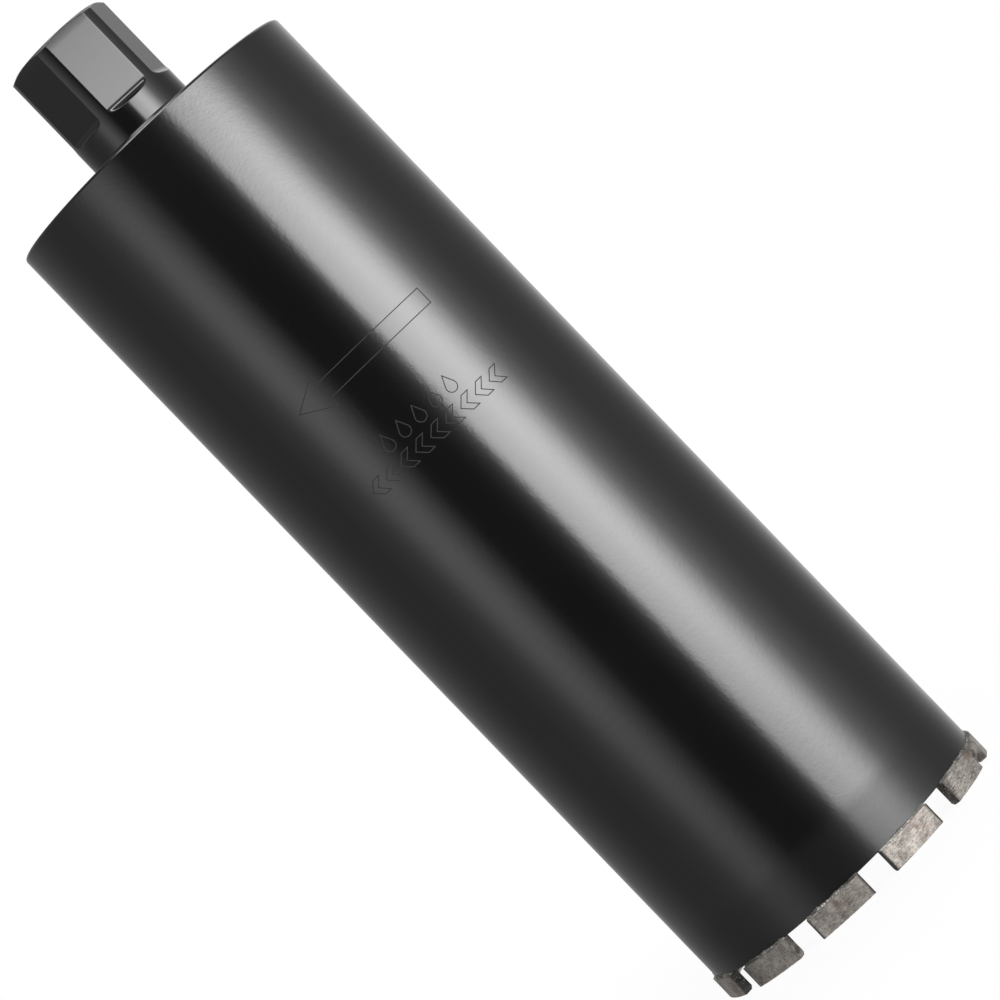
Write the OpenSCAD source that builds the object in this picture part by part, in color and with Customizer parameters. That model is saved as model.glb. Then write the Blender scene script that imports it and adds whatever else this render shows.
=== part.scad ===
// Segmented diamond core bit for wet drilling in concrete: a thin steel barrel,
// closed by an end plate that carries a hexagon drive hub, with diamond segments
// brazed around its open rim. It stands on its segments, hub up, front towards -Y.

/* [Barrel] */
// Outside diameter of the barrel and the end plate
barrel_od = 124.3; // [100:0.1:250]
// Wall of the barrel tube
barrel_wall = 2; // [1.6:0.1:4]
// Length from the barrel's open rim to the top of the end plate
barrel_len = 354.3; // [100:0.1:600]

/* [Segments] */
// Length of a diamond segment, around its outside
seg_len = 24.8; // [15:0.1:40]
// Height of a segment
seg_h = 9; // [5:0.1:15]
// How far a segment stands proud of the barrel's outside
seg_out = 1.35; // [0.6:0.05:2.5]
// How far a segment stands proud of the barrel's inside
seg_in = 0.7; // [0.3:0.05:2]
// Bevel along the outer cutting edge
seg_edge_out = 0.3; // [0.1:0.1:1]
// Bevel along the inner cutting edge
seg_edge_in = 1; // [0.1:0.1:1.5]
// Least width of the water slot between two segments
slot_min = 11; // [6:0.5:20]
// Turn of the first segment from the front, seen from above
crown_turn = -11.7; // [-180:0.1:180]

/* [Braze] */
// Thickness of the braze between a segment and the barrel's rim
braze_t = 0.2; // [0.1:0.05:0.5]
// Height of the braze fillet up the barrel's wall
braze_fillet = 0.7; // [0.3:0.1:1.5]

/* [End plate] */
// Thickness of the plate above the end of the barrel tube
plate_rim_t = 6; // [5:0.5:12]
// Depth of the plate's register inside the tube
plate_register = 4; // [2:0.5:10]
// Clearance all round between the register and the tube
register_gap = 0.1; // [0.05:0.05:0.3]
// Rounding of the plate's outer edge
plate_edge_r = 0.8; // [0.3:0.1:2]
// Width of the weld seam between plate and tube, on the outside
seam_w = 3; // [1:0.5:5]
// Depth of the weld seam
seam_depth = 1.2; // [0.5:0.1:1.4]

/* [Drive hub] */
// Height of the hub above the end plate
hub_h = 49.1; // [40:0.1:80]
// Diameter of the round bar that the hub is turned from
hub_od = 44.9; // [42.5:0.1:55]
// Width across the hexagon's flats
hex_af = 40.9; // [36:0.1:42]
// Length of the flats, from the hub's end face
flat_len = 32.8; // [15:0.1:35]
// Height of the sloped run-out below each flat
runout_h = 2.3; // [0.5:0.1:4]
// Height of the bevel around the end face
hub_bevel_h = 1.3; // [0.5:0.1:3]
// Width of that bevel, seen from the end
hub_bevel_w = 2.4; // [0.5:0.1:3]
// Diameter of the collar at the hub's foot
collar_od = 49.2; // [46:0.1:65]
// Height of the collar
collar_h = 4.2; // [2:0.1:6]
// Bevel of the collar's upper edge
collar_bevel = 0.6; // [0.2:0.1:1.5]
// Turn of the first flat from the front, seen from above
hub_turn = 14.2; // [-180:0.1:180]

/* [Drive thread] */
// Major diameter of the female thread, 1 1/4 inch
thread_major = 31.75; // [25:0.05:31.75]
// Threads per inch
thread_tpi = 7; // [5:1:14]
// Clearance of the plain counterbore around the thread's major diameter
pilot_gap = 0.5; // [0.2:0.1:1]
// Depth of the counterbore below the end face
pilot_depth = 23; // [10:0.5:25]
// Bevel at the counterbore's mouth
mouth_bevel = 0.7; // [0.3:0.1:1]

/* [Hub joint] */
// Diameter of the hub's spigot through the end plate
spigot_d = 38; // [36:0.1:42]
// Clearance all round between the spigot and the plate
spigot_gap = 0.05; // [0.05:0.05:0.2]
// How far the spigot stands out of the plate, inside the barrel
spigot_out = 2.5; // [1:0.1:5]
// Leg of the fillet weld around the spigot, inside the barrel
weld_leg = 2.5; // [1:0.1:5]

/* [Hidden] */
// Smoothness of the round surfaces
$fn = 180;
// Overlap that lets one solid cut cleanly through another
eps = 0.01;
inch = 25.4;
flats = 6;
// Depth of a unified thread in an internal bore, as a share of its pitch
thread_depth = 5 / 8 * sqrt(3) / 2;

barrel_r = barrel_od / 2;
barrel_ir = barrel_r - barrel_wall;
rim_z = seg_h + braze_t;
plate_top = rim_z + barrel_len;
tube_top = plate_top - plate_rim_t;
plate_under = tube_top - plate_register;

seg_or = barrel_r + seg_out;
seg_ir = barrel_ir - seg_in;
seg_span = seg_len / seg_or * 180 / PI;
seg_count = floor(2 * PI * seg_or / (seg_len + slot_min));
seg_pitch = 360 / seg_count;
fillet_out = min(braze_fillet, seg_out);
fillet_in = min(braze_fillet, seg_in);

hub_r = hub_od / 2;
hub_top = plate_top + hub_h;
flat_end = hub_top - flat_len;
spigot_r = spigot_d / 2;
spigot_end = plate_under - spigot_out;
thread_pitch = inch / thread_tpi;
thread_minor_r = thread_major / 2 - thread_depth * thread_pitch;
pilot_r = thread_major / 2 + pilot_gap;
pilot_end = hub_top - pilot_depth;
lead_in = pilot_r - thread_minor_r;

// Turn of something at the front of the part, which faces -Y
front = -90;

// A numbered node name with two digits, such as segment_03
function numbered(base, i) = str(base, i < 10 ? "_0" : "_", i);

// Thin seamless tube, bevelled outside at its upper end for the weld seam
module barrel_tube() {
    color("#202022")
    rotate_extrude()
    polygon([
        [barrel_ir, rim_z],
        [barrel_r, rim_z],
        [barrel_r, tube_top - seam_w / 2],
        [barrel_r - seam_depth, tube_top],
        [barrel_ir, tube_top]
    ]);
}

// Disc that closes the barrel: a full-width rim on a register that enters the tube
module end_plate() {
    color("#1a1a1c")
    difference() {
        rotate_extrude() {
            difference() {
                polygon([
                    [0, plate_under],
                    [barrel_ir - register_gap, plate_under],
                    [barrel_ir - register_gap, tube_top],
                    [barrel_r - seam_depth, tube_top],
                    [barrel_r, tube_top + seam_w / 2],
                    [barrel_r, plate_top],
                    [0, plate_top]
                ]);
                outer_edge_waste();
            }
        }
        translate([0, 0, plate_under - eps])
            cylinder(r = spigot_r + spigot_gap, h = plate_top - plate_under + 2 * eps);
    }
}

// What the rounding takes off the corner of the plate's section
module outer_edge_waste() {
    translate([barrel_r - plate_edge_r, plate_top - plate_edge_r])
    difference() {
        square(plate_edge_r + eps);
        circle(plate_edge_r);
    }
}

// Weld that fills the groove between tube and plate, ground flush with both
module seam_weld() {
    color("#202022")
    rotate_extrude()
    polygon([
        [barrel_r - seam_depth, tube_top],
        [barrel_r, tube_top - seam_w / 2],
        [barrel_r, tube_top + seam_w / 2]
    ]);
}

// Turned and milled hub: collar, round neck, hexagon, bore and spigot in one piece
module drive_hub() {
    color("#161618")
    difference() {
        hub_turning();
        for (i = [0 : flats - 1])
            rotate([0, 0, front + hub_turn + i * 360 / flats])
                flat_cut();
        hub_bore();
    }
}

module hub_turning() {
    rotate_extrude()
    polygon([
        [0, spigot_end],
        [spigot_r, spigot_end],
        [spigot_r, plate_top],
        [collar_od / 2, plate_top],
        [collar_od / 2, plate_top + collar_h - collar_bevel],
        [collar_od / 2 - collar_bevel, plate_top + collar_h],
        [hub_r, plate_top + collar_h],
        [hub_r, hub_top - hub_bevel_h],
        [hub_r - hub_bevel_w, hub_top],
        [0, hub_top]
    ]);
}

// What the mill takes off for one flat, with the slope that it runs out on
module flat_cut() {
    rotate([90, 0, 0])
    linear_extrude(height = hub_od, center = true)
    polygon([
        [hex_af / 2, flat_end],
        [hub_r, flat_end - runout_h],
        [hub_r + 1, flat_end - runout_h],
        [hub_r + 1, hub_top + 1],
        [hex_af / 2, hub_top + 1]
    ]);
}

// Plain counterbore, then a lead-in cone, then the thread's minor diameter
module hub_bore() {
    translate([0, 0, spigot_end - eps])
        cylinder(r = thread_minor_r, h = hub_top - spigot_end);
    translate([0, 0, pilot_end - lead_in])
        cylinder(r1 = thread_minor_r, r2 = pilot_r, h = lead_in);
    translate([0, 0, pilot_end])
        cylinder(r = pilot_r, h = pilot_depth + eps);
    translate([0, 0, hub_top - mouth_bevel])
        cylinder(r1 = pilot_r, r2 = pilot_r + mouth_bevel + eps, h = mouth_bevel + eps);
}

// Fillet weld that holds the spigot to the underside of the plate
module hub_weld() {
    color("#5a5a5c")
    rotate_extrude()
    polygon([
        [spigot_r, plate_under],
        [spigot_r, plate_under - min(weld_leg, spigot_out)],
        [spigot_r + weld_leg, plate_under]
    ]);
}

// Turns a piece of the crown to the place of segment number i
module at_segment(i) {
    rotate([0, 0, front + crown_turn + (i - 1) * seg_pitch - seg_span / 2])
        children();
}

// Sintered diamond segment, a curved block with bevelled cutting edges
module segment(i) {
    color("#8f857c")
    at_segment(i)
    rotate_extrude(angle = seg_span)
    polygon([
        [seg_ir, seg_h],
        [seg_ir, seg_edge_in],
        [seg_ir + seg_edge_in, 0],
        [seg_or - seg_edge_out, 0],
        [seg_or, seg_edge_out],
        [seg_or, seg_h]
    ]);
}

// Silver braze under the barrel's rim, with a fillet up each side of the wall
module braze(i) {
    color("#a7a49d")
    at_segment(i)
    rotate_extrude(angle = seg_span)
    polygon([
        [barrel_ir - fillet_in, seg_h],
        [barrel_r + fillet_out, seg_h],
        [barrel_r, rim_z + braze_fillet],
        [barrel_r, rim_z],
        [barrel_ir, rim_z],
        [barrel_ir, rim_z + braze_fillet]
    ]);
}

barrel_tube();
end_plate();
seam_weld();
drive_hub();
hub_weld();
for (i = [1 : seg_count]) {
    segment(i);
    braze(i);
}
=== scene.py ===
import math
import random

import bpy
from mathutils import Matrix, Vector, noise

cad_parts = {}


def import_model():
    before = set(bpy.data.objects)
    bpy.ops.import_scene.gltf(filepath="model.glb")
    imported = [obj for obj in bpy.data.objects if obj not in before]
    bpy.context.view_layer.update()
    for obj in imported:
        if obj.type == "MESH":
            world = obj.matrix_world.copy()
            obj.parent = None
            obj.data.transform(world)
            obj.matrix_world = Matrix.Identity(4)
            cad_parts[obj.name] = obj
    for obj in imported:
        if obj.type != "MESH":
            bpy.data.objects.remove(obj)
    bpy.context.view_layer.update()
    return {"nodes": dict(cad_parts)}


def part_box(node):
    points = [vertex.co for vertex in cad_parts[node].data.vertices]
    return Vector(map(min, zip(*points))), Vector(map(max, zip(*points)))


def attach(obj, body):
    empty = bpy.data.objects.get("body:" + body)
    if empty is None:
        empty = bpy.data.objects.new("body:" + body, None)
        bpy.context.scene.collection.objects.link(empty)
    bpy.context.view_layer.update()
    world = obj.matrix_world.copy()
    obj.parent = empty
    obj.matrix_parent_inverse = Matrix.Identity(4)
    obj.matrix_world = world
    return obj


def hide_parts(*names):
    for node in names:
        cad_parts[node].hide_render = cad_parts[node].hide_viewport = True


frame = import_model()

MM = 0.001
TAU = 2 * math.pi

# Sizes that the frame gives
BARREL_LOW, BARREL_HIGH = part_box("barrel_tube")
PLATE_LOW, PLATE_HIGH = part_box("end_plate")
HUB_LOW, HUB_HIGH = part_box("drive_hub")
WELD_LOW, WELD_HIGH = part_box("hub_weld")
SEAM_LOW, SEAM_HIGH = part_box("seam_weld")
SEGMENTS = sorted(n for n in frame["nodes"] if n.startswith("segment"))
BRAZES = sorted(n for n in frame["nodes"] if n.startswith("braze"))
SEG_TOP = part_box(SEGMENTS[0])[1].z

BARREL_R = 62.15 * MM
BARREL_IR = BARREL_R - 2 * MM
RIM_Z = BARREL_LOW.z
TUBE_TOP = BARREL_HIGH.z
PLATE_TOP = PLATE_HIGH.z
PLATE_UNDER = PLATE_LOW.z
SEAM_DEPTH = 1.2 * MM
SEAM_HALF = (SEAM_HIGH.z - SEAM_LOW.z) / 2

SEG_R = BARREL_R + 1.35 * MM
SEG_IR = BARREL_IR - 0.7 * MM
SEG_IN_BEVEL = 1 * MM
SEG_OUT_BEVEL = 0.3 * MM
SEG_LEN = 24.8 * MM
SEG_SPAN = SEG_LEN / SEG_R
SEG_PITCH = TAU / len(SEGMENTS)
FRONT = math.radians(-90)
CROWN_TURN = math.radians(-11.7)
# How far along the rim each segment was brazed from its even place
SEG_MOVED = [mm * MM for mm in (0.5, -0.4, -0.25, 0.1, -0.2, 0.3, 0, -0.3, 0.2, 0.4, 0.5)]
# How light the ends of each segment are, in 1 for the usual: partly the soot's own tone, partly painted
# light and shade for how each end is lit
END_TONE_AND_PAINTED_LIGHT = (0.8, 0.50, 1.3, 3.6, 0.8, 1.2, 0.7, 1.0, 0.6, 0.4, 2.3)
# How many bare grains show on those ends
END_FLECKS = (0.4, 0.1, 1.0, 0.6, 0.5, 0.7, 0.4, 0.6, 0.3, 0.5, 0.6)
# How light the outside of each segment is, and how strongly the grinding shows
SEG_LIGHT = (1.55, 1.64, 1.50, 1.44, 1.4, 1.5, 1.3, 1.4, 1.35, 1.40, 1.37)
# How sooty the outside is beside the ends of each segment
SEG_SOOT = (0.8, 0.95, 0.5, 0.3, 0.5, 0.6, 0.4, 0.5, 0.4, 0.45, 0.2)
# How bright each braze joint is, in 1 for the usual
BRAZE_LIGHT = (1.2, 2.2, 1.2, 1.3, 1.0, 1.5, 1.0, 1.2, 1.0, 0.9, 1.0)
SEG_LINES = (0.45, 0.75, 1.0, 0.4, 0.8, 0.5, 0.7, 0.9, 0.5, 0.3, 0.35)

HUB_R = 22.45 * MM
HUB_FLAT = 20.45 * MM
HUB_TURN = math.radians(14.2)
HUB_TOP = HUB_HIGH.z
BEVEL_H = 1.36 * MM
FACE_R = HUB_R - 2.6 * MM
COLLAR_R = HUB_HIGH.x
COLLAR_H = 4.1 * MM
SPIGOT_R = 19 * MM
SPIGOT_END = HUB_LOW.z
PITCH = 25.4 * MM / 7
MAJOR_R = 31.75 * MM / 2
MINOR_R = MAJOR_R - 5 / 8 * math.sqrt(3) / 2 * PITCH
PILOT_R = MAJOR_R + 0.5 * MM
PILOT_END = HUB_TOP - 23 * MM
MOUTH = 0.7 * MM


# Node helpers

class Graph:
    """A material's node tree, with short calls to add and join nodes."""

    def __init__(self, name=None, tree=None, output="ShaderNodeOutputMaterial"):
        if tree is None:
            self.material = bpy.data.materials.new(name)
            self.material.use_nodes = True
            tree = self.material.node_tree
        self.tree = tree
        self.tree.nodes.clear()
        self.out = self.tree.nodes.new(output)

    def node(self, kind, **settings):
        made = self.tree.nodes.new(kind)
        for key, value in settings.items():
            setattr(made, key, value)
        return made

    def put(self, socket, value):
        if isinstance(value, bpy.types.NodeSocket):
            self.tree.links.new(value, socket)
        else:
            socket.default_value = value

    def math(self, operation, *values):
        made = self.node("ShaderNodeMath", operation=operation)
        for socket, value in zip(made.inputs, values):
            self.put(socket, value)
        return made.outputs[0]

    def ramp(self, factor, stops):
        """Grey ramp: stops are (place, value) pairs."""
        made = self.node("ShaderNodeValToRGB")
        elements = made.color_ramp.elements
        while len(elements) < len(stops):
            elements.new(0.5)
        for element, (place, value) in zip(elements, stops):
            element.position = place
            element.color = (*[value] * 3, 1) if isinstance(value, (int, float)) else (*value, 1)
        self.put(made.inputs[0], factor)
        return made.outputs[0]

    def product(self, a, b):
        return self.math("MULTIPLY", a, b)

    def total(self, *values):
        out = values[0]
        for value in values[1:]:
            out = self.math("ADD", out, value)
        return out

    def curve(self, value, points, low, high):
        """Straight lines through (place, height) points, for places from low to high."""
        tallest = max(height for _, height in points)
        span = high - low
        place = self.math("MULTIPLY_ADD", value, 1 / span, -low / span)
        stops = [((at - low) / span, height / tallest) for at, height in points]
        return self.math("MULTIPLY", self.ramp(place, stops), tallest)

    def mix(self, factor, a, b):
        """Mix of two colours."""
        made = self.node("ShaderNodeMix", data_type="RGBA")
        self.put(made.inputs[0], factor)
        self.put(made.inputs[6], a if not isinstance(a, tuple) else (*a, 1))
        self.put(made.inputs[7], b if not isinstance(b, tuple) else (*b, 1))
        return made.outputs[2]

    def scaled(self, colour, factor):
        made = self.node("ShaderNodeVectorMath", operation="SCALE")
        self.put(made.inputs[0], colour)
        made.inputs["Scale"].default_value = factor
        return made.outputs[0]

    def lerp(self, factor, a, b):
        """Mix of two numbers."""
        made = self.node("ShaderNodeMix", data_type="FLOAT")
        self.put(made.inputs[0], factor)
        self.put(made.inputs[2], a)
        self.put(made.inputs[3], b)
        return made.outputs[0]

    def place(self):
        """Place on the part, in metres."""
        return self.node("ShaderNodeTexCoord").outputs["Object"]

    def split(self, vector):
        made = self.node("ShaderNodeSeparateXYZ")
        self.put(made.inputs[0], vector)
        return made.outputs

    def join(self, x, y, z):
        made = self.node("ShaderNodeCombineXYZ")
        for socket, value in zip(made.inputs, (x, y, z)):
            self.put(socket, value)
        return made.outputs[0]

    def round_place(self, around=1.0, along=1.0, out=1.0):
        """Place as (arc length round the axis, height, distance from the axis), each stretched."""
        x, y, z = self.split(self.place())
        distance = self.math("SQRT", self.total(self.product(x, x), self.product(y, y)))
        angle = self.math("ARCTAN2", y, x)
        arc = self.math("MULTIPLY", angle, BARREL_R * around)
        return self.join(arc, self.math("MULTIPLY", z, along), self.math("MULTIPLY", distance, out))

    def noise(self, vector, scale, detail=2.0, rough=0.5, distortion=0.0):
        made = self.node("ShaderNodeTexNoise")
        self.put(made.inputs["Vector"], vector)
        self.put(made.inputs["Scale"], scale)
        self.put(made.inputs["Detail"], detail)
        self.put(made.inputs["Roughness"], rough)
        self.put(made.inputs["Distortion"], distortion)
        return made.outputs[0]

    def cells(self, vector, scale):
        made = self.node("ShaderNodeTexVoronoi", feature="F1")
        self.put(made.inputs["Vector"], vector)
        self.put(made.inputs["Scale"], scale)
        return made.outputs["Distance"]

    def bump(self, height, distance):
        made = self.node("ShaderNodeBump")
        made.inputs["Distance"].default_value = distance
        made.inputs["Strength"].default_value = 1.0
        self.put(made.inputs["Height"], height)
        return made.outputs[0]

    def shader(self, **inputs):
        """A Principled shader with these inputs."""
        made = self.node("ShaderNodeBsdfPrincipled")
        for key, value in inputs.items():
            if isinstance(value, tuple):
                value = (*value, 1)
            self.put(made.inputs[key.replace("_", " ")], value)
        return made.outputs[0]

    def surface(self, **inputs):
        """Ends the material in a Principled shader with these inputs."""
        self.put(self.out.inputs[0], self.shader(**inputs))
        return self.material

    def blend(self, factor, a, b):
        """Ends the material in a mix of two shaders."""
        made = self.node("ShaderNodeMixShader")
        for socket, value in zip(made.inputs, (factor, a, b)):
            self.put(socket, value)
        self.put(self.out.inputs[0], made.outputs[0])
        return self.material


# Materials

PAINT_IOR = 1.95
PAINT_ROUGH = 0.17
# The crown's touched-up paint, by 10 times the height in metres
TOUCHED_UP = [(0.15, 1.0), (0.29, 0.85), (0.345, 0.0)]
DULL_TONE = (0.0115, 0.0115, 0.0115)
DULL_IOR = 1.72


def black_paint(name, rough=PAINT_ROUGH, colour=0.0032, peel=0.00001):
    """Sprayed gloss black with a fine orange peel, duller where the crown was touched up."""
    g = Graph(name)
    place = g.place()
    fine = g.noise(place, 1100, 2.0, 0.6)
    middle = g.noise(place, 380, 2.0, 0.5)
    broad = g.noise(place, 50, 1.0, 0.5)
    cloud = g.noise(place, 18, 4.0, 0.6)
    specks = g.ramp(g.cells(place, 300), [(0.0, 1.0), (0.03, 0.0)])
    height = g.total(g.product(fine, 1.5), g.product(middle, 1.6), g.product(broad, 1.0))
    height = g.total(height, g.product(specks, 0.8))
    tone = g.mix(g.ramp(cloud, [(0.35, 0.0), (0.75, 1.0)]), (colour,) * 3, (colour * 1.4,) * 3)
    ragged = g.math("MULTIPLY", g.noise(place, 28, 2.0, 0.5), 0.006)
    low = g.math("ADD", g.split(place)[2], ragged)
    touched = g.ramp(g.math("MULTIPLY", low, 10.0), TOUCHED_UP)
    roughness = g.math("MULTIPLY_ADD", cloud, 0.03, rough - 0.015)
    normal = g.bump(height, peel)
    gloss = g.shader(Base_Color=tone, Roughness=roughness, IOR=PAINT_IOR, Normal=normal)
    dull = g.shader(Base_Color=DULL_TONE, Roughness=rough + 0.05, IOR=DULL_IOR, Normal=normal)
    return g.blend(touched, gloss, dull)


def machined_face():
    """Bare turned steel of the hub's end face, with fine concentric tool marks."""
    g = Graph("machined_face")
    rings = g.noise(g.round_place(0.02, 0.0, 1.0), 9000, 2.0, 0.7)
    cloud = g.noise(g.place(), 250, 3.0, 0.6)
    tone = g.mix(rings, (0.78, 0.765, 0.74), (0.92, 0.905, 0.88))
    tone = g.mix(g.ramp(cloud, [(0.55, 0.0), (0.8, 0.35)]), tone, (0.45, 0.42, 0.38))
    roughness = g.math("ADD", g.math("MULTIPLY", rings, 0.15), 0.28)
    return g.surface(
        Base_Color=tone, Metallic=0.7, Roughness=roughness,
        Normal=g.bump(rings, 0.00002),
    )


def bored_steel():
    """Dark oily steel of the counterbore and the thread."""
    g = Graph("bored_steel")
    rings = g.noise(g.round_place(0.05, 1.0, 0.3), 2200, 2.0, 0.6)
    cloud = g.noise(g.place(), 90, 4.0, 0.6)
    tone = g.mix(cloud, (0.085, 0.068, 0.056), (0.19, 0.16, 0.135))
    tone = g.mix(g.math("MULTIPLY", rings, 0.5), tone, (0.30, 0.27, 0.24))
    roughness = g.math("ADD", g.math("MULTIPLY", rings, 0.2), 0.25)
    return g.surface(
        Base_Color=tone, Metallic=0.9, Roughness=roughness,
        Normal=g.bump(rings, 0.00003),
    )


def turned_ring():
    """Rings inside the barrel where the tool's crests show through thin paint."""
    g = Graph("turned_ring")
    streak = g.noise(g.round_place(0.12, 1.0, 1.0), 130, 3.0, 0.65)
    shown = g.ramp(streak, [(0.40, 0.0), (0.54, 1.0)])
    tone = g.mix(shown, (0.006, 0.006, 0.0065), (0.44, 0.43, 0.41))
    return g.surface(
        Base_Color=tone, Metallic=g.math("MULTIPLY", shown, 0.8),
        Roughness=g.lerp(shown, 0.4, 0.32), IOR=1.6,
    )


def shifted(g, index):
    """Place on the part, moved by an amount of its own for each segment."""
    moved = g.node("ShaderNodeVectorMath", operation="ADD")
    g.put(moved.inputs[0], g.place())
    moved.inputs[1].default_value = (index * 0.37, index * 0.53, index * 0.71)
    return moved.outputs[0]


def sintered(index):
    """Sintered metal with diamond grit, ground along the cut, stained and sooted at its ends."""
    g = Graph("diamond_matrix_%02d" % index)
    place = shifted(g, index)
    lines = g.noise(g.round_place(0.12, 1.0, 1.0), 3100, 3.0, 0.65)
    grain = g.noise(place, 1300, 3.0, 0.7)
    cloud = g.noise(place, 330, 4.0, 0.62)
    patches = g.noise(place, 120, 2.0, 0.5)
    stain = g.noise(place, 85, 3.0, 0.55, 0.4)
    grit = g.ramp(g.cells(place, 1050), [(0.10, 1.0), (0.24, 0.0)])
    pits = g.ramp(g.cells(place, 560), [(0.08, 1.0), (0.19, 0.0)])
    light = g.total(g.product(cloud, 0.6), g.product(patches, 0.6))
    tone = g.mix(g.ramp(light, [(0.42, 0.0), (0.78, 1.0)]), (0.145, 0.128, 0.116), (0.440, 0.405, 0.372))
    bright = g.ramp(lines, [(0.52, 0.0), (0.68, SEG_LINES[index])])
    deep = g.ramp(lines, [(0.32, SEG_LINES[index]), (0.46, 0.0)])
    tone = g.mix(bright, tone, (0.56, 0.52, 0.475))
    tone = g.mix(deep, tone, (0.085, 0.074, 0.066))
    tone = g.mix(g.ramp(grain, [(0.30, 0.9), (0.46, 0.0)]), tone, (0.060, 0.050, 0.043))
    tone = g.mix(g.ramp(stain, [(0.58, 0.0), (0.70, 0.75)]), tone, (0.125, 0.078, 0.058))
    tone = g.mix(g.product(grit, 0.42), tone, (0.60, 0.575, 0.53))
    tone = g.mix(g.product(pits, 0.75), tone, (0.035, 0.029, 0.026))
    tone = g.scaled(tone, SEG_LIGHT[index])
    soot = g.product(end_border(g, index, cloud), SEG_SOOT[index])
    tone = g.mix(soot, tone, (0.022, 0.020, 0.019))
    height = g.total(g.product(lines, 0.8), g.product(grain, 0.8), g.product(grit, 0.5))
    height = g.math("SUBTRACT", height, pits)
    roughness = g.math("MULTIPLY_ADD", grain, 0.25, 0.36)
    return g.surface(
        Base_Color=tone, Metallic=0.5, Roughness=roughness,
        Normal=g.bump(height, 0.00007),
    )


def end_border(g, index, ragged):
    """1 beside both ends of a segment, 0 in from them, with a ragged limit."""
    x, y, _ = g.split(g.place())
    turn = middle_of(index)
    along_it = g.total(g.product(x, -math.sin(turn)), g.product(y, math.cos(turn)))
    from_middle = g.math("ABSOLUTE", along_it)
    half = SEG_R * math.sin(SEG_SPAN / 2)
    inwards = g.math("MULTIPLY_ADD", from_middle, -1000.0, half * 1000.0)
    inwards = g.total(inwards, g.product(ragged, -0.9))
    return g.ramp(inwards, [(0.0, 1.0), (0.25, 0.6), (0.8, 0.0)])


def sooted(index):
    """A segment's end, dark with flux and paint mist, with a few bare grains; its lightness per segment is
    partly painted light and shade.
    """
    g = Graph("segment_end_%02d" % index)
    place = shifted(g, index)
    grain = g.noise(place, 1100, 3.0, 0.7)
    cloud = g.noise(place, 300, 3.0, 0.6)
    bare = g.ramp(g.cells(place, 900), [(0.12, 1.0), (0.26, 0.0)])
    # dark and pale carry each segment's lightness, partly painted light and shade on its ends
    dark = tuple(0.9 * END_TONE_AND_PAINTED_LIGHT[index] * part for part in (0.040, 0.036, 0.034))
    pale = tuple(END_TONE_AND_PAINTED_LIGHT[index] * part for part in (0.200, 0.180, 0.160))
    tone = g.mix(g.ramp(cloud, [(0.38, 0.0), (0.72, 1.0)]), dark, pale)
    tone = g.mix(g.product(bare, END_FLECKS[index]), tone, (0.58, 0.55, 0.51))
    return g.surface(
        Base_Color=tone, Metallic=0.25, Roughness=0.55,
        Normal=g.bump(grain, 0.00008),
    )


def silver_braze(index):
    """Silver braze under flux and a mist of black paint, bright only where it was knocked bare."""
    g = Graph("silver_braze_%02d" % index)
    place = g.place()
    flux = g.noise(place, 900, 3.0, 0.65)
    lumps = g.noise(place, 1300, 3.0, 0.6)
    patches = g.noise(place, 90, 2.0, 0.5)
    misty = g.total(g.product(flux, 0.6), g.product(patches, 0.8))
    dusty = g.mix(g.ramp(misty, [(0.5, 0.0), (0.88, 1.0)]), (0.040, 0.040, 0.038), (0.27, 0.262, 0.24))
    dusty = g.scaled(dusty, BRAZE_LIGHT[index])
    start = 0.594 - 0.016 * BRAZE_LIGHT[index]
    worn = g.product(g.total(lumps, g.product(patches, 1.3)), 0.5)
    bare = g.ramp(worn, [(start, 0.0), (start + 0.052, 1.0)])
    tone = g.mix(bare, dusty, (0.62, 0.60, 0.55))
    return g.surface(
        Base_Color=tone, Metallic=g.product(bare, 0.85), Roughness=g.lerp(bare, 0.5, 0.28),
        Normal=g.bump(lumps, 0.00012),
    )


def etched():
    """Laser-etched line: matt grey, because the laser burnt the gloss off the paint."""
    g = Graph("etched_line")
    dots = g.noise(g.place(), 2600, 2.0, 0.6)
    tone = g.mix(dots, (0.032, 0.032, 0.033), (0.070, 0.070, 0.071))
    return g.surface(
        Base_Color=tone, Roughness=0.75, IOR=1.4,
        Normal=g.bump(dots, 0.00004),
    )


# Mesh helpers

def piece(name, verts, faces, materials, which=None, sharp=35.0, replaces=(), slot=None):
    """A closed mesh that rides on the part. which gives each face's material."""
    mesh = bpy.data.meshes.new(name)
    mesh.from_pydata(verts, [], faces)
    for material in materials:
        mesh.materials.append(material)
    if which is not None:
        mesh.polygons.foreach_set("material_index", which)
    mesh.polygons.foreach_set("use_smooth", [True] * len(faces))
    mesh.set_sharp_from_angle(angle=math.radians(sharp))
    mesh.validate()
    mesh.update()
    made = bpy.data.objects.new(name, mesh)
    bpy.context.scene.collection.objects.link(made)
    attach(made, "root")
    if replaces:
        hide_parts(*replaces)
    return made


def rounded(points, arc_steps=5):
    """A closed outline of (x, y, radius, tag) with each corner rounded: a list of (x, y, tag)."""
    out = []
    count = len(points)
    for i, (x, y, radius, tag) in enumerate(points):
        here = Vector((x, y))
        if radius <= 0:
            out.append((x, y, tag))
            continue
        before = Vector(points[i - 1][:2]) - here
        after = Vector(points[(i + 1) % count][:2]) - here
        a, b = before.normalized(), after.normalized()
        half = math.acos(max(-1.0, min(1.0, a.dot(b)))) / 2
        reach = radius / math.tan(half)
        reach = min(reach, before.length * 0.49, after.length * 0.49)
        radius = reach * math.tan(half)
        centre = here + (a + b).normalized() * (radius / math.sin(half))
        start, end = here + a * reach - centre, here + b * reach - centre
        turn = math.atan2(start.x * end.y - start.y * end.x, start.dot(end))
        for k in range(arc_steps + 1):
            p = centre + Matrix.Rotation(turn * k / arc_steps, 2) @ start
            out.append((p.x, p.y, tag))
    return out


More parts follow.
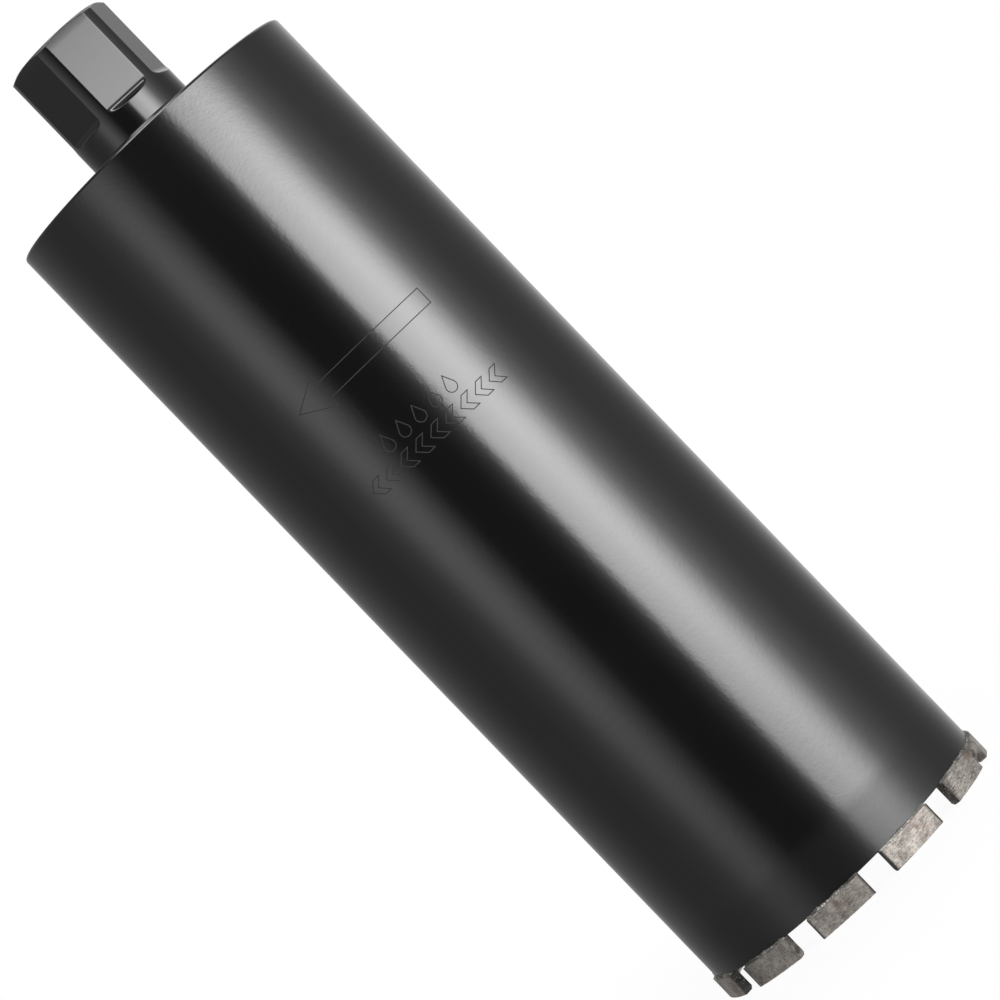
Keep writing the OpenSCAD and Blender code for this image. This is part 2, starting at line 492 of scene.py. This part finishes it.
def guarded(outline, reach=0.12 * MM):
    """Adds a point on both sides of each long straight, so that a corner's shading stays there."""
    out = []
    for i, (x, y, tag) in enumerate(outline):
        nx, ny, _ = outline[(i + 1) % len(outline)]
        out.append((x, y, tag))
        length = math.hypot(nx - x, ny - y)
        if length > 4 * reach:
            for t in (reach / length, 1 - reach / length):
                out.append((x + (nx - x) * t, y + (ny - y) * t, tag))
    return out


def revolve(name, outline, steps, materials, shape=None, angles=None, **settings):
    """Turns a closed outline of (r, z, tag) round the axis. shape(r, z, angle) may change r."""
    angles = angles or [TAU * k / steps for k in range(steps)]
    steps = len(angles)
    rows = len(outline)
    verts = []
    for r, z, _ in outline:
        for angle in angles:
            here = shape(r, z, angle) if shape else r
            verts.append((here * math.cos(angle), here * math.sin(angle), z))
    faces, which = [], []
    for i in range(rows):
        j = (i + 1) % rows
        for k in range(steps):
            n = (k + 1) % steps
            faces.append((i * steps + k, i * steps + n, j * steps + n, j * steps + k))
            which.append(outline[i][2])
    return piece(name, verts, faces, materials, which, **settings)


def smooth_min(a, b, k):
    """The smaller of a and b, blended where they are within k."""
    h = max(0.0, min(1.0, 0.5 + 0.5 * (b - a) / k))
    return b + (a - b) * h - k * h * (1 - h)


# Barrel, end plate and welds

WALL_STEPS = 512


def barrel(paint, inside, ring):
    """Tube with a lightly broken rim and the tool's crests as fine rings inside."""
    rng = random.Random(11)
    crest = 0.05 * MM
    marks = []
    z = RIM_Z + 4 * MM
    while z < TUBE_TOP - 12 * MM:
        marks.append(z)
        near = (z - RIM_Z) / (TUBE_TOP - RIM_Z)
        z += rng.uniform(1.5, 5.0) * MM + rng.random() ** 3 * (10 + 60 * near) * MM
    outline = rounded([
        (BARREL_IR, TUBE_TOP, 0, 1),
        (BARREL_IR, RIM_Z, 0.15 * MM, 1),
        (BARREL_R, RIM_Z, 0.3 * MM, 0),
        (BARREL_R, TUBE_TOP - SEAM_HALF, 0, 0),
        (BARREL_R - SEAM_DEPTH, TUBE_TOP, 0, 0),
    ])
    first, rest = outline[0], outline[1:]
    rings = [first]
    for z in reversed(marks):
        wide = rng.uniform(0.12, 0.3) * MM
        rings += [(BARREL_IR, z + wide, 2), (BARREL_IR - crest, z, 2), (BARREL_IR, z - wide, 1)]
    return revolve(
        "barrel", guarded(rings + rest), WALL_STEPS, [paint, inside, ring],
        sharp=30, replaces=["barrel_tube"], slot="barrel_paint",
    )


def plate(paint):
    """End plate: a disc with a softly broken edge and a register inside the tube."""
    hole = SPIGOT_R + 0.05 * MM
    register = BARREL_IR - 0.1 * MM
    outline = rounded([
        (hole, PLATE_UNDER, 0.2 * MM, 0),
        (register, PLATE_UNDER, 0.3 * MM, 0),
        (register, TUBE_TOP, 0, 0),
        (BARREL_R - SEAM_DEPTH, TUBE_TOP, 0, 0),
        (BARREL_R, TUBE_TOP + SEAM_HALF, 0, 0),
        (BARREL_R, PLATE_TOP - 0.95 * MM, 0.3 * MM, 0),
        (BARREL_R - 0.17 * MM, PLATE_TOP - 0.38 * MM, 0.3 * MM, 0),
        (BARREL_R - 0.7 * MM, PLATE_TOP, 0.3 * MM, 0),
        (hole, PLATE_TOP, 0, 0),
    ])
    return revolve(
        "plate", guarded(outline), WALL_STEPS, [paint], replaces=["end_plate"], slot="barrel_paint",
    )


def seam(paint):
    """Weld that fills the groove between tube and plate, ground flush."""
    outline = [
        (BARREL_R - SEAM_DEPTH, TUBE_TOP, 0),
        (BARREL_R, TUBE_TOP - SEAM_HALF, 0),
        (BARREL_R, TUBE_TOP + SEAM_HALF, 0),
    ]
    return revolve("seam", outline, WALL_STEPS, [paint], replaces=["seam_weld"], slot="barrel_paint")


def spigot_weld(paint):
    """Fillet bead with the ripples that a run of weld leaves."""
    leg = WELD_HIGH.x - SPIGOT_R
    top, low = WELD_HIGH.z, WELD_LOW.z
    arc = 10
    outline = [(SPIGOT_R, top, 0)]
    for k in range(arc + 1):
        t = k / arc
        outline.append((SPIGOT_R + leg * t, low + (top - low) * t, 0))

    def ripple(r, z, angle):
        out = (r - SPIGOT_R) / leg
        if out <= 0 or z >= top:
            return r
        wave = abs(math.sin(angle * 34 + 2.2 * out)) * 0.18 + 0.1 * noise.noise((angle * 9, out * 3, 1))
        return r - leg * wave * out * (1 - out) * 1.6

    return revolve(
        "spigot_bead", outline, 272, [paint], ripple,
        sharp=60, replaces=["hub_weld"], slot="weld_steel",
    )


# Drive hub

FLATS = 6
EDGE_SOFT = 0.18 * MM
# The mill's corner leaves an arc where each flat runs out
RUNOUT_R = 3.6 * MM
RUNOUT_START = HUB_TOP - 32.2 * MM
# The flats fall away a little towards the end face
ROLL, ROLL_H = 0.10 * MM, 4.3 * MM


def hub_angles():
    """Angles round the hub, closer together at the edges of its flats."""
    half = math.acos(HUB_FLAT / HUB_R)
    period = TAU / FLATS
    near = [math.radians(a) for a in (-1.5, -1.0, -0.65, -0.3, 0.0, 0.3, 0.65, 1.0, 1.5)]
    inner = half - near[-1]
    flat_steps = 26
    strip_steps = 4
    out = []
    for i in range(FLATS):
        middle = FRONT + HUB_TURN + i * period
        out += [middle + inner * (2 * k / flat_steps - 1) for k in range(1, flat_steps)]
        out += [middle + half + a for a in near]
        gap = period - 2 * (half + near[-1])
        out += [middle + half + near[-1] + gap * k / strip_steps for k in range(1, strip_steps)]
        out += [middle + period - half + a for a in near]
    return sorted(a % TAU for a in out)


def thread_radius(z, angle):
    """Wall of the internal thread: a 60 degree groove that climbs one pitch each turn."""
    groove = (z - SPIGOT_END - PITCH * angle / TAU) % PITCH - PITCH / 2
    share = (3 / 8 * PITCH - abs(groove)) / (5 / 16 * PITCH)
    return MINOR_R + (MAJOR_R - MINOR_R) * max(0.0, min(1.0, share))


def along(p, q, step, tag):
    """Points from p up to but not including q, about step apart."""
    length = math.hypot(q[0] - p[0], q[1] - p[1])
    count = max(1, round(length / step))
    return [
        (p[0] + (q[0] - p[0]) * k / count, p[1] + (q[1] - p[1]) * k / count, tag)
        for k in range(count)
    ]


def hub_outline():
    """The hub's section: outside upwards, over the end face, and down the bore."""
    lead_in = PILOT_R - MINOR_R
    foot = 1 * MM
    corner = guarded(rounded([
        (MINOR_R + foot, SPIGOT_END, 0, 0),
        (SPIGOT_R, SPIGOT_END, 0.3 * MM, 0),
        (SPIGOT_R, PLATE_TOP, 0, 0),
        (COLLAR_R, PLATE_TOP, 0.15 * MM, 0),
        (COLLAR_R, PLATE_TOP + COLLAR_H - 1.0 * MM, 0.3 * MM, 0),
        (COLLAR_R - 0.25 * MM, PLATE_TOP + COLLAR_H - 0.25 * MM, 0.1 * MM, 0),
        (COLLAR_R - 0.8 * MM, PLATE_TOP + COLLAR_H, 0.1 * MM, 0),
        (HUB_R, PLATE_TOP + COLLAR_H, 0.3 * MM, 0),
        (HUB_R, HUB_TOP - BEVEL_H, 0.15 * MM, 0),
        (FACE_R, HUB_TOP, 0, 1),
        (PILOT_R + MOUTH, HUB_TOP, 0, 1),
        (PILOT_R, HUB_TOP - MOUTH, 0, 2),
        (PILOT_R, PILOT_END, 0, 2),
        (MINOR_R, PILOT_END - lead_in, 0, 2),
        (MINOR_R, SPIGOT_END + foot, 0, 2),
    ]))
    bevel_low = HUB_TOP - BEVEL_H
    out = []
    for i, (x, y, tag) in enumerate(corner):
        nx, ny, _ = corner[(i + 1) % len(corner)]
        step = 3 * MM
        rising = abs(nx - x) < 1e-7 and ny > y
        if rising and y < RUNOUT_START < ny:
            slope_low, slope_high = RUNOUT_START - RUNOUT_R - 0.2 * MM, RUNOUT_START + 0.1 * MM
            out += along((x, y), (x, slope_low), 2 * MM, tag)
            out += along((x, slope_low), (x, slope_high), 0.12 * MM, tag)
            out += along((x, slope_high), (x, HUB_TOP - ROLL_H), 6 * MM, tag)
            out += along((x, HUB_TOP - ROLL_H), (nx, ny), 0.4 * MM, tag)
            continue
        if y >= bevel_low - 0.5 * MM and tag == 0 and x > FACE_R:
            step = 0.1 * MM
        if tag == 2 and y <= PILOT_END and x < PILOT_R + 1e-6:
            step = PITCH / 16
        if tag == 1 and y >= HUB_TOP - 1e-7 and ny >= HUB_TOP - 1e-7:
            step = 0.5 * MM
        out += along((x, y), (nx, ny), step, tag)
    return out


def hub_shape(r, z, angle):
    """Distance from the axis, after the thread and the flats are cut."""
    if r < PILOT_R + 1e-7:
        return max(r, thread_radius(z, angle)) if z < PILOT_END and z > SPIGOT_END + 1e-7 else r
    if z < RUNOUT_START - RUNOUT_R or r < FACE_R - 1 * MM:
        return r
    period = TAU / FLATS
    away = (angle - FRONT - HUB_TURN + period / 2) % period - period / 2
    below = max(0.0, min(0.98 * RUNOUT_R, RUNOUT_START - z))
    cut = HUB_FLAT + RUNOUT_R - math.sqrt(RUNOUT_R ** 2 - below ** 2)
    cut -= ROLL * max(0.0, (z - HUB_TOP + ROLL_H) / ROLL_H) ** 2
    return smooth_min(r, cut / math.cos(away), EDGE_SOFT)


def hub(paint, face, bore):
    """Drive hub: collar, round neck, six flats, end face, counterbore and thread."""
    return revolve(
        "hub", hub_outline(), None, [paint, face, bore], hub_shape, hub_angles(),
        sharp=38, replaces=["drive_hub"], slot="hub_paint",
    )


# Crown

def middle_of(index):
    """Angle of a segment's middle."""
    return FRONT + CROWN_TURN + index * SEG_PITCH + SEG_MOVED[index] / SEG_R


def segment_section():
    """The block's section as (distance from the axis, height), closely divided."""
    corners = guarded(rounded([
        (SEG_IR, SEG_TOP, 0.1 * MM, 0),
        (SEG_IR, SEG_IN_BEVEL, 0.3 * MM, 0),
        (SEG_IR + SEG_IN_BEVEL, 0, 0.3 * MM, 0),
        (SEG_R - SEG_OUT_BEVEL, 0, 0.12 * MM, 0),
        (SEG_R, SEG_OUT_BEVEL, 0.12 * MM, 0),
        (SEG_R, SEG_TOP, 0.08 * MM, 0),
    ], 3), 0.06 * MM)
    dense = []
    for i, (x, y, _) in enumerate(corners):
        nx, ny, _ = corners[(i + 1) % len(corners)]
        dense += [(p[0], p[1]) for p in along((x, y), (nx, ny), 0.3 * MM, 0)]
    return dense


def segment_stations():
    """Where the section stands along the block: (turn from its middle, how far it is drawn in)."""
    edge = 0.1 * MM
    ends = 4
    length = 84
    half = SEG_SPAN / 2
    inner = half - edge / SEG_R
    curve = [math.pi / 2 * k / ends for k in range(ends)]
    lead = [(half - edge / SEG_R * (1 - math.cos(t)), edge * (1 - math.sin(t))) for t in curve]
    stations = [(-turn, inset) for turn, inset in lead]
    stations += [(-inner + 2 * inner * k / length, 0.0) for k in range(length + 1)]
    return stations + lead[::-1]


def segment(index, node, body, end):
    """Curved block with square corners, a grainy pressed skin and a few small chips."""
    rng = random.Random(100 + index)
    section = segment_section()
    stations = segment_stations()
    centre = Vector(((SEG_R + SEG_IR) / 2, SEG_TOP / 2))
    seed = Vector((rng.uniform(0, 50), rng.uniform(0, 50), rng.uniform(0, 50)))

    def place(turn, x, y, inset):
        toward = centre - Vector((x, y))
        toward.normalize()
        px, py = x + toward.x * inset, y + toward.y * inset
        angle = middle_of(index) + turn
        p = Vector((turn * SEG_R, py, px)) * 1000
        skin = 0.010 * (1 + noise.noise(p * 0.8 + seed)) + 0.009 * (1 + noise.noise(p * 3.1 + seed))
        corner_x = min(abs(px - SEG_R), abs(px - SEG_IR)) < 0.6 * MM
        if corner_x and (py < 0.8 * MM or py > SEG_TOP - 0.4 * MM):
            skin += max(0.0, noise.noise(p * 0.9 + seed * 2) - 0.38) * 0.9
        px += toward.x * skin * MM
        py += toward.y * skin * MM
        return (px * math.cos(angle), px * math.sin(angle), max(0.0, py))

    verts, faces = [], []
    for turn, inset in stations:
        verts += [place(turn, x, y, inset) for x, y in section]
    around = len(section)
    rows = len(stations)
    for i in range(rows - 1):
        for k in range(around):
            n = (k + 1) % around
            faces.append((i * around + k, i * around + n, (i + 1) * around + n, (i + 1) * around + k))
    sides = len(faces)
    end_caps(verts, faces, around, rows, centre, place, stations)
    which = [0] * sides + [1] * (len(faces) - sides)
    return piece(
        node + "_body", verts, faces, [body, end], which,
        sharp=40, replaces=[node], slot="diamond_matrix",
    )


def end_caps(verts, faces, around, rows, centre, place, stations):
    """Closes both ends with rings that shrink to a point, so that the skin's noise goes on."""
    for side, row in ((0, 0), (1, rows - 1)):
        turn, inset = stations[row]
        outer = [row * around + k for k in range(around)]
        start = verts[row * around:(row + 1) * around]
        angle_point = place(turn, centre.x + 1e-6, centre.y, 0)
        rings = 5
        previous = outer
        for r in range(1, rings):
            t = r / rings
            base = len(verts)
            verts += [tuple(a + (b - a) * t for a, b in zip(v, angle_point)) for v in start]
            current = [base + k for k in range(around)]
            join_rings(faces, previous, current, side)
            previous = current
        verts.append(angle_point)
        tip = len(verts) - 1
        for k in range(around):
            n = (k + 1) % around
            face = (previous[k], previous[n], tip)
            faces.append(face if side else face[::-1])


def join_rings(faces, a, b, side):
    count = len(a)
    for k in range(count):
        n = (k + 1) % count
        face = (a[k], a[n], b[n], b[k])
        faces.append(face if side else face[::-1])


BRAZE_STEPS = 7


def fillet_size(turn, seed, side):
    """How big the fillet is here, in 1 for its full legs."""
    arc = turn * SEG_R * 1000
    wave = noise.noise((arc * 0.33, seed, side)) + 0.6 * noise.noise((arc * 1.1, seed, side + 7))
    return max(0.25, min(1.0, 0.62 + 0.55 * wave))


def braze_ring(turn, seed, size_out, size_in):
    """The joint's section as (distance from the axis, height): out, over the rim's place, and in."""
    out_leg, in_leg = 1.15 * MM, 0.6 * MM
    ring = []
    for k in range(BRAZE_STEPS + 1):
        t = k / BRAZE_STEPS * math.pi / 2
        lump = 1 + 0.22 * noise.noise((turn * SEG_R * 1900, k * 0.9, seed))
        r = BARREL_R + out_leg * size_out * math.cos(t) ** 1.6 * lump
        z = SEG_TOP + (0.2 * MM + 0.95 * MM * size_out) * math.sin(t) ** 1.2
        ring.append((min(r, SEG_R - 0.06 * MM), z))
    ring.append((BARREL_R - 0.05 * MM, RIM_Z))
    ring.append((BARREL_IR + 0.05 * MM, RIM_Z))
    for k in range(BRAZE_STEPS + 1):
        t = (1 - k / BRAZE_STEPS) * math.pi / 2
        r = BARREL_IR - in_leg * size_in * math.cos(t) ** 1.6
        z = SEG_TOP + (0.2 * MM + 0.6 * MM * size_in) * math.sin(t) ** 1.2
        ring.append((r, z))
    return ring


def braze(index, node, material):
    """Strip of braze under the rim, with lumpy fillets up both sides of the wall."""
    seed = random.Random(300 + index).uniform(0, 90)
    half = SEG_SPAN / 2 - 0.1 * MM / SEG_R
    length = 110
    verts, faces = [], []
    for i in range(length + 1):
        turn = -half + 2 * half * i / length
        angle = middle_of(index) + turn
        ends = min(1.0, (length / 2 - abs(i - length / 2)) / 4 + 0.35)
        size_out = fillet_size(turn, seed, 0) * ends
        size_in = fillet_size(turn, seed, 3) * ends
        ring = braze_ring(turn, seed, size_out, size_in)
        verts += [(r * math.cos(angle), r * math.sin(angle), z) for r, z in ring]
    around = len(ring)
    for i in range(length):
        for k in range(around):
            n = (k + 1) % around
            faces.append((i * around + k, (i + 1) * around + k, (i + 1) * around + n, i * around + n))
    last = length * around
    faces.append(tuple(range(around)))
    faces.append(tuple(last + k for k in reversed(range(around))))
    return piece(
        node + "_run", verts, faces, [material], sharp=70, replaces=[node], slot="silver_braze",
    )


# Etched marks on the barrel's front

MARK_W = 0.34 * MM
MARK_UP = 0.02 * MM
MARK_DOWN = 0.03 * MM


def stroke(corners, verts, faces):
    """Adds a closed line of MARK_W along corners, given as (arc to the right, height) in mm."""
    points = []
    for i, a in enumerate(corners):
        b = corners[(i + 1) % len(corners)]
        count = max(1, math.ceil(math.dist(a, b) / 0.6))
        points += [Vector(a).lerp(Vector(b), k / count) for k in range(count)]
    base = len(verts)
    count = len(points)
    for i, p in enumerate(points):
        before = (p - points[i - 1]).normalized()
        after = (points[(i + 1) % count] - p).normalized()
        normal = Vector((-before.y - after.y, before.x + after.x)).normalized()
        miter = 1 / max(0.4, normal.dot(Vector((-after.y, after.x))))
        offset = normal * (MARK_W / MM / 2 * miter)
        for side, lift in ((1, MARK_UP), (-1, MARK_UP), (-1, -MARK_DOWN), (1, -MARK_DOWN)):
            q = (p + offset * side) * MM
            angle = FRONT + q.x / BARREL_R
            r = BARREL_R + lift
            verts.append((r * math.cos(angle), r * math.sin(angle), q.y))
    for i in range(count):
        j = (i + 1) % count
        for k in range(4):
            n = (k + 1) % 4
            faces.append((base + i * 4 + k, base + i * 4 + n, base + j * 4 + n, base + j * 4 + k))


def drop(x, y):
    """Outline of a water drop, the usual sign for wet drilling."""
    radius, tip = 2.15, 4.9
    half = math.acos(radius / tip)
    turns = [math.pi / 2 + half + 2 * (math.pi - half) * k / 20 for k in range(21)]
    return [(x, y + tip)] + [(x + radius * math.cos(t), y + radius * math.sin(t)) for t in turns]


def marks(material):
    """A turning arrow, a row of drops and a row of chevrons, all in plain outline."""
    verts, faces = [], []
    arrow = [(-30, 255), (-17, 262), (-17, 258.4), (32, 258.4), (32, 251.6), (-17, 251.6), (-17, 248)]
    stroke(arrow, verts, faces)
    for k in range(5):
        stroke(drop(1 + (k - 2) * 7.4, 225.8), verts, faces)
    for k in range(9):
        x = 1.5 + (k - 4) * 7.2
        chevron = [(x - 3.2, 218), (x, 221.2), (x + 3, 221.2), (x - 0.2, 218), (x + 3, 214.8), (x, 214.8)]
        stroke(chevron, verts, faces)
    return piece("etched_marks", verts, faces, [material], sharp=30, slot="barrel_paint")


# Stage, lights and camera

def floor():
    """Pale disc under the part. The camera sees it white, shaded only near the part; inside the barrel's
    ring it glows whiter, a painted light that takes out the barrel's shadow there.
    """
    g = Graph("floor")
    x, y, z = g.split(g.place())
    away = g.math("SQRT", g.math("ADD", g.math("MULTIPLY", x, x), g.math("MULTIPLY", y, y)))
    # Inside the barrel's ring the floor glows whiter: painted light that takes out the barrel's shadow
    # there
    beside = g.ramp(away, [(0.045, 1.0), (0.066, 0.0)])
    far = g.math("ADD", g.ramp(away, [(0.10, 0.0), (0.36, 1.0)]), g.math("MULTIPLY", beside, 0.6))
    seen = g.node("ShaderNodeLightPath").outputs["Is Camera Ray"]
    diffuse = g.node("ShaderNodeBsdfDiffuse")
    g.put(diffuse.inputs[0], g.mix(far, (0.19, 0.19, 0.19), (0.0, 0.0, 0.0)))
    glow = g.node("ShaderNodeEmission")
    g.put(glow.inputs["Strength"], g.math("MULTIPLY", seen, g.lerp(far, 0.91, 1.0)))
    both = g.node("ShaderNodeAddShader")
    g.put(both.inputs[0], diffuse.outputs[0])
    g.put(both.inputs[1], glow.outputs[0])
    clear = g.node("ShaderNodeBsdfTransparent")
    choose = g.node("ShaderNodeMixShader")
    g.put(choose.inputs[0], g.node("ShaderNodeNewGeometry").outputs["Backfacing"])
    g.put(choose.inputs[1], both.outputs[0])
    g.put(choose.inputs[2], clear.outputs[0])
    g.tree.links.new(choose.outputs[0], g.out.inputs[0])
    mesh = bpy.data.meshes.new("floor")
    steps = 96
    radius = 3.0
    mesh.from_pydata(
        [(radius * math.cos(TAU * k / steps), radius * math.sin(TAU * k / steps), 0) for k in range(steps)],
        [], [tuple(range(steps))],
    )
    mesh.materials.append(g.material)
    made = bpy.data.objects.new("floor", mesh)
    bpy.context.scene.collection.objects.link(made)
    made.visible_diffuse = False
    made.visible_glossy = False
    made.visible_shadow = False


# Brightness of the studio, by degrees to the right of the front, in 1 for white paper.
# The walls are dim in front of the part and pale behind it.
WALLS_ROUND = [
    (-180, 0.80), (-168, 0.42), (-153, 0.27), (-136, 0.245), (-124, 0.205), (-113, 0.175), (-104, 0.155),
    (-88, 0.165), (-74, 0.17), (-60, 0.16), (-33, 0.07), (-20, 0.035), (0, 0.03), (20, 0.04),
    (60, 0.30), (78, 0.45), (86, 0.38), (93, 0.29), (101, 0.25), (110, 0.235), (120, 0.235),
    (131, 0.285), (147, 0.46), (162, 0.72), (180, 0.80),
]
WALLS_UP = [(-1, 0.5), (-0.35, 0.6), (-0.2, 1.0), (0.09, 1.0), (0.14, 0.9), (0.45, 0.36), (1, 0.3)]
# A weak softbox stands on the left.
LEFT_ROUND = [
    (-86, 0), (-74.5, 0.055), (-68, 0.11), (-62, 0.25), (-56, 0.50), (-50, 0.68), (-44, 0.68),
    (-40, 0.58), (-33, 0.32), (-28, 0.16), (-23, 0),
]
LEFT_UP = [
    (-0.3, 0.2), (-0.22, 0.3), (-0.13, 0.50), (-0.078, 0.78), (-0.03, 1.0), (0.03, 1.03), (0.07, 0.98),
    (0.15, 0.4), (0.22, 0.15), (0.4, 0),
]
# The key softbox stands on the right, with a faint glow beside it.
KEY_ROUND = [
    (4, 0), (10, 0.05), (19.3, 0.14), (20.7, 4.06), (31.3, 4.7), (42.2, 5.6),
    (50, 5.1), (60, 2.55), (67, 0.85), (78, 0.10), (88, 0),
]
KEY_UP = [
    (-0.3, 0.2), (-0.22, 0.36), (-0.145, 0.60), (-0.13, 0.66), (-0.078, 0.82), (-0.03, 1.0), (0.03, 1.05),
    (0.066, 1.13), (0.085, 0.9), (0.142, 0.36), (0.22, 0.15), (0.4, 0),
]
# A third hangs high in front. It shows only in rounded edges.
HIGH_ROUND = [(-30, 0), (-16, 3.6), (0, 4.4), (20, 4.4), (32, 3.9), (44, 0)]
HIGH_UP = [(0.57, 0), (0.62, 1), (0.75, 1), (0.81, 0)]
# The ceiling is dim, with a pale part behind, by 2 x + y of the direction.
CEILING = 0.13
CEILING_UP = [(0.09, 0), (0.24, 1)]
GLOW_SIDE = [(0.57, 0), (0.65, 1.0), (1.0, 1.0), (1.12, 0.2), (1.22, 0.2), (1.34, 1.0), (1.9, 0.8)]
GLOW_BACK = [(0.4, 0), (0.6, 1)]
GLOW_UP = [(0.085, 0), (0.10, 0.12), (0.13, 0.10), (0.22, 0.14), (0.5, 1)]
# The white background, as the paint shows it from straight behind the part
BACKDROP_ROUND = [(-180, 1), (-166, 0), (166, 0), (180, 1)]
# The pale floor, seen only by what faces down
FLOOR_DOWN = [(-0.6, 0.5), (-0.25, 0)]


def world():
    """White to the camera. The part sees a studio with softboxes, a ceiling and a pale floor."""
    made = bpy.data.worlds.new("studio")
    bpy.context.scene.world = made
    made.use_nodes = True
    g = Graph(tree=made.node_tree, output="ShaderNodeOutputWorld")
    toward = g.node("ShaderNodeTexCoord").outputs["Generated"]
    x, y, z = g.split(toward)
    turn = g.math("ARCTAN2", x, g.math("MULTIPLY", y, -1.0))
    turn = g.math("MULTIPLY", turn, 360 / TAU)
    side = g.math("MULTIPLY_ADD", x, 2.0, y)
    walls = g.product(g.curve(turn, WALLS_ROUND, -180, 180), g.curve(z, WALLS_UP, -1, 1))
    left = g.product(g.curve(turn, LEFT_ROUND, -180, 180), g.curve(z, LEFT_UP, -1, 1))
    key = g.product(g.curve(turn, KEY_ROUND, -180, 180), g.curve(z, KEY_UP, -1, 1))
    high = g.product(g.curve(turn, HIGH_ROUND, -180, 180), g.curve(z, HIGH_UP, -1, 1))
    ceiling = g.math("MULTIPLY", g.curve(z, CEILING_UP, -1, 1), CEILING)
    glow = g.product(g.curve(side, GLOW_SIDE, -3, 3), g.curve(y, GLOW_BACK, -1, 1))
    glow = g.product(glow, g.curve(z, GLOW_UP, -1, 1))
    below = g.curve(z, FLOOR_DOWN, -1, 1)
    light = g.total(walls, left, key, high, ceiling, glow, below)
    ray = g.node("ShaderNodeLightPath").outputs
    backdrop = g.product(ray["Is Glossy Ray"], g.curve(turn, BACKDROP_ROUND, -180, 180))
    light = g.math("MAXIMUM", light, backdrop)
    seen = g.math("MAXIMUM", ray["Is Camera Ray"], ray["Is Transmission Ray"])
    shown = g.node("ShaderNodeBackground")
    shown.inputs[0].default_value = (1, 1, 1, 1)
    g.put(shown.inputs["Strength"], g.lerp(seen, light, 1.0))
    g.tree.links.new(shown.outputs[0], g.out.inputs[0])


def camera():
    """The photograph's camera, level with the barrel and rolled, so that the hub is at the upper left."""
    focal_px = 4201.8
    frame_px = 1000
    sensor = 36.0
    distance = 1.5018
    height = 0.22368
    roll = math.radians(43.98)
    data = bpy.data.cameras.new("camera")
    data.sensor_width = sensor
    data.lens = focal_px / frame_px * sensor
    data.shift_x = 0.07697
    data.shift_y = -0.07778
    data.clip_start = 0.05
    data.clip_end = 50
    made = bpy.data.objects.new("camera", data)
    right = Vector((math.cos(roll), 0, -math.sin(roll)))
    up = Vector((math.sin(roll), 0, math.cos(roll)))
    back = Vector((0, -1, 0))
    turn = Matrix((right, up, back)).transposed()
    made.matrix_world = Matrix.Translation((0, -distance, height)) @ turn.to_4x4()
    bpy.context.scene.collection.objects.link(made)
    bpy.context.scene.camera = made


def build():
    wall_paint = black_paint("wall_paint")
    hub_paint = black_paint("hub_paint", 0.14, peel=0.0000015)
    inner_paint = black_paint("inner_paint", 0.38, 0.002, 0.00001)
    barrel(wall_paint, inner_paint, turned_ring())
    plate(wall_paint)
    seam(wall_paint)
    hub(hub_paint, machined_face(), bored_steel())
    spigot_weld(inner_paint)
    for index, (node, joint) in enumerate(zip(SEGMENTS, BRAZES)):
        segment(index, node, sintered(index), sooted(index))
        braze(index, joint, silver_braze(index))
    marks(etched())


build()
floor()
world()
camera()
bpy.context.scene.view_settings.view_transform = "Standard"
